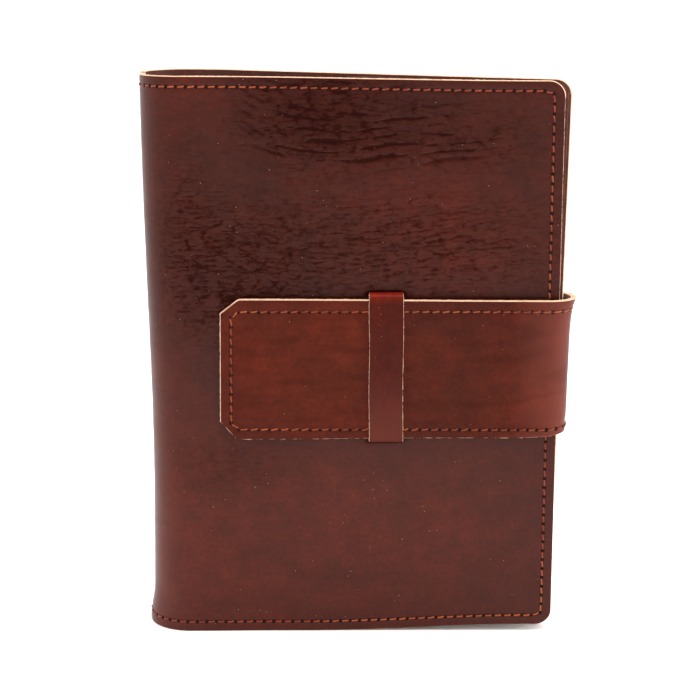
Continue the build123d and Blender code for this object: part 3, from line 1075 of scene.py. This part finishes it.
def strap_relief(along, up, low, high, length):
    """A smooth strap: faint long waves and the dip of its seam."""
    sides = np.minimum(up - low(along), high(along) - up)
    edge = np.minimum(sides, np.minimum(along, length - along))
    waves = soft_noise(along, up, 30 * MM, 9 * MM, 21.0)
    return 0.09 * MM * waves + seam_dip(edge, STRAP_SEAM, 0.30, 0.22)


def strap_seam(length):
    """Needle holes all round the strap, inside its clipped tip and its sewn end."""
    clip_low, clip_high = 6.6 * MM, 6.4 * MM
    inset = STRAP_SEAM
    bottom, top = STRAP_LO.z + inset, STRAP_HI.z - inset
    corners = [
        (inset + 0.45 * clip_low, bottom),
        (length - inset, bottom),
        (length - inset, top),
        (inset + 0.45 * clip_high, top),
        (inset, top - 0.35 * clip_high),
        (inset, bottom + 0.4 * clip_low),
    ]
    spots = []
    for a, b in zip(corners, corners[1:] + corners[:1]):
        a, b = np.array(a), np.array(b)
        count = max(1, int(round(np.linalg.norm(b - a) / STITCH)))
        spots += [tuple(a + (b - a) * k / count) for k in range(count)]
    return spots


def make_strap(paint):
    """Two plies sewn together: tongue, bend and sewn end, split at the middle of the bend."""
    route = STRAP_ROUTE
    low, high = strap_edges()
    bend_middle = next(
        s for s in np.arange(0, route.length, 0.1 * MM) if route.at(s)[1][1] > 0.999
    )
    relief = lambda a, b: strap_relief(a, b, low, high, route.length)
    halves = (
        ("front", 0.0, bend_middle, "strap_tongue", (0.30 * MM, 0.0), 31),
        ("back", bend_middle, route.length, "back_cover", (0.0, 0.25 * MM), 32),
    )
    spots = strap_seam(route.length)
    for half, begin, end, body, ends, seed in halves:
        rim = (*ends, 0.06 * MM, 0.25 * MM)
        along = spaced(begin, end, 1.2 * MM)
        marks = up_marks(1.2 * MM, STRAP_HI.z - STRAP_LO.z)
        outer = Sheet(route, STRAP_OUTER, 0.0, along, low, high, marks, rim)
        inner = Sheet(route, 0.0, -STRAP_INNER, along, low, high, marks, rim)
        outer.relief = relief
        outer.place = inner.place = loop_lean
        outer.masks = strap_masks(bend_middle)
        outer_piece = outer.build(f"strap_{half}_outer", [paint["strap"], paint["edge"], paint["edge"]],
                                  7.0, 0.30)
        inside_out = [paint["edge"], paint["lining"], paint["edge"]]
        inner_piece = inner.build(f"strap_{half}_lining", inside_out, 8.0)
        work = Needlework(seed)
        strap_row(work, outer, spots, begin, end, lambda a, b: STRAP_OUTER + relief(a, b))
        thread = work.build(f"strap_{half}_stitches", paint["strap thread"], paint["hole"])
        pieces = [outer_piece, inner_piece, thread]
        if half == "front":
            under = Needlework(41)
            strap_row(under, Inside(inner), spots, begin, end, lambda a, b: np.full(a.shape, STRAP_INNER))
            pieces.append(under.build("strap_front_bobbin_stitches", paint["strap thread"], paint["hole"]))
        for piece in pieces:
            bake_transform(piece)
        for piece in pieces[2:]:
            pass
        names = ("tongue", "bend") if half == "front" else ("anchor", "bend")
        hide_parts(*[f"strap_{n}_outer" for n in names])
        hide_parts(*[f"strap_{n}_lining" for n in names])
        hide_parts(*[f"strap_{n}_thread" for n in names])


def strap_masks(bend_middle):
    """The strap's masks: dye dark beyond the keeper and red at its tip, painted light round its bend, and
    painted shade under the keeper.
    """
    def clouds(a, b):
        up = b - STRAP_LO.z
        smoke = soft_noise(a, b, 28 * MM, 14 * MM, 41.0)
        lines = soft_noise(a, b, 40 * MM, 3.0 * MM, 47.0)
        past_keeper = ramp(66, 76, a) * (1 - ramp(90, 125, a))
        tip_side = 1 - ramp(40, 66, a)
        return np.clip(0.30 + 0.22 * tip_side * ramp(0, 40, up) - 0.35 * past_keeper
                       + 0.55 * smoke + 0.35 * lines, 0, 1)

    # Painted light: the strap drawn paler round its bend, for the light that glows there.
    def painted_bend_light(a, b):
        return 0.46 * (1 - ramp(9, 31, np.abs(a - bend_middle)))

    # Painted shade under the keeper, and faint dark streaks of dye.
    def dark(a, b):
        under = ramp(50, 60, a) * (1 - ramp(67, 77, a))
        return 0.34 * under + 0.18 * smooth(0.05, 0.45, soft_noise(a, b, 18 * MM, 3.5 * MM, 53.0))

    return {"redness": clouds, "light_and_tone": painted_bend_light, "crease": dark}


def strap_row(work, sheet, spots, begin, end, surface):
    """The stitches and holes of the strap's closed seam that start in one stretch of it."""
    for a, b in zip(spots, spots[1:] + spots[:1]):
        if begin <= a[0] < end:
            work.stitch(sheet, a, b, surface, 0.30, 0.34)
            work.hole(sheet, a, surface)


def loop_lean(flat, up):
    """Places on the strap, whose loop leans out at its top and in at its foot."""
    tip = (up - (STRAP_LO.z + STRAP_HI.z) / 2) / (STRAP_HI.z - STRAP_LO.z)
    splay = 0.8 * MM * (0.5 - tip) * (1 - smooth(STRAP_LO.x, STRAP_LO.x + 40 * MM, flat[..., 0]))
    shift = (tip - 1.3 + 2.2 * np.exp((tip - 0.5) / 0.07)) * MM * smooth(50 * MM, BEND_HI.x, flat[..., 0])
    return np.stack([flat[..., 0] + shift - splay, flat[..., 1], up], -1)


# ------ keeper


def make_keeper(paint):
    """A narrow band over the strap, whose ends turn into two slots in the front cover."""
    slots = keeper_edges()
    front = KEEPER_LO.y
    into = FRONT_LO.y + 1.2 * MM
    low, high = slots[0] - KEEPER_HALF + 0.5 * MM, slots[1] + KEEPER_HALF
    corners = [(into, low), (front, low), (front, high), (into, high)]
    route = rounded_route(corners, [1.7 * MM, 1.7 * MM], -1)
    along = spaced(0, route.length, 0.6 * MM)
    left, right = KEEPER_LO.x + 0.7 * MM, KEEPER_HI.x - 0.1 * MM

    def low_edge(a):
        return np.full(np.shape(a), left) + 0.12 * MM * np.sin(np.asarray(a) * 190)

    def high_edge(a):
        return np.full(np.shape(a), right) + 0.10 * MM * np.sin(np.asarray(a) * 140 + 1)

    marks = up_marks(0.7 * MM, right - left)
    rim = (0.0, 0.0, 0.13 * MM, 0.09 * MM)
    thick = 1.25 * MM
    sheet = Sheet(route, 0.0, -thick, along, low_edge, high_edge, marks, rim)
    sheet.relief = lambda a, b: 0.05 * MM * soft_noise(a, b, 12 * MM, 4 * MM, 31.0)
    sheet.place = lambda flat, up: np.stack([up, flat[..., 0], flat[..., 1]], -1)
    top = route.length
    # Painted light and shade: redder at the top bend, which faces the light; paler at the lower end, a
    # painted reflection; darker in a band below the top, painted shade.
    sheet.masks = {
        "redness": lambda a, b: 1.2 * smooth(top - 9 * MM, top - 2.5 * MM, a) - 0.25,
        "light_and_tone": lambda a, b: 0.36 * (1 - ramp(4, 38, a)),
        "crease": lambda a, b: 0.22 * smooth(top - 24 * MM, top - 9 * MM, a) * (a < top - 5 * MM),
    }
    piece = sheet.build("keeper_band", [paint["keeper"], paint["edge"], paint["edge"]], 9.0, 0.22)
    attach(piece, "front_cover")
    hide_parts("keeper")


# ------ studio


def make_floor():
    """A wide pale floor."""
    mesh = bpy.data.meshes.new("studio_floor")
    wide = 6.0
    mesh.from_pydata([(-wide, -wide, 0), (wide, -wide, 0), (wide, wide, 0), (-wide, wide, 0)], [],
                     [(0, 1, 2, 3)])
    material, nodes, shader = new_material("pale_floor")
    place = nodes.add("ShaderNodeTexCoord").outputs["Object"]
    tone = nodes.mix(nodes.noise(place, 3.0, 2.0), (0.90, 0.90, 0.90, 1), (0.94, 0.94, 0.94, 1))
    nodes.settle(shader, Base_Color=tone, Roughness=0.8)
    floor = new_object("studio_floor", mesh, [material])


def make_light(name, where, size, power, aim):
    data = bpy.data.lights.new(name, "AREA")
    data.shape = "RECTANGLE"
    data.size, data.size_y = size
    data.energy = power
    light = bpy.data.objects.new(name, data)
    light.location = where
    light.rotation_euler = (Vector(aim) - Vector(where)).to_track_quat("-Z", "Y").to_euler()
    bpy.context.scene.collection.objects.link(light)


def make_studio():
    """A white tent of light, brighter behind, with a soft box above and one on the right."""
    world = bpy.data.worlds.new("white_tent")
    world.use_nodes = True
    nodes = Nodes(world.node_tree)
    back = world.node_tree.nodes["Background"]
    back.inputs["Color"].default_value = (1.0, 1.0, 1.0, 1)
    towards = nodes.add("ShaderNodeSeparateXYZ")
    nodes.link(nodes.add("ShaderNodeTexCoord").outputs["Generated"], towards.inputs[0])
    at_front, at_back = 0.97, 2.1
    nodes.link(nodes.range(towards.outputs["Y"], -0.6, 1.0, at_front, at_back), back.inputs["Strength"])
    bpy.context.scene.world = world
    make_light("top_softbox", (0.05, -0.20, 0.95), (0.7, 0.45), 5.0, (0, 0, 0.1))
    make_light("right_softbox", (0.85, -0.08, 0.35), (0.6, 0.8), 6.0, (0.05, 0, 0.12))
    make_floor()


def make_camera():
    """Straight at the front cover, from a little above its top edge."""
    distance, height, tilt = 0.6314, 0.2639, math.radians(13.12)
    data = bpy.data.cameras.new("camera")
    data.lens = 85.8
    data.sensor_width = 36.0
    data.clip_start, data.clip_end = 0.01, 50
    camera = bpy.data.objects.new("camera", data)
    camera.location = (-3 * MM, FRONT_LO.y - distance, height)
    camera.rotation_euler = (math.pi / 2 - tilt, 0, 0)
    bpy.context.scene.collection.objects.link(camera)
    bpy.context.scene.camera = camera
    bpy.context.scene.view_settings.view_transform = "Standard"


make_camera()
make_studio()
PAINT = make_materials()
make_cover("front", FRONT_ROUTE, 1, PAINT)
make_cover("back", BACK_ROUTE, -1, PAINT)
make_strap(PAINT)
make_keeper(PAINT)
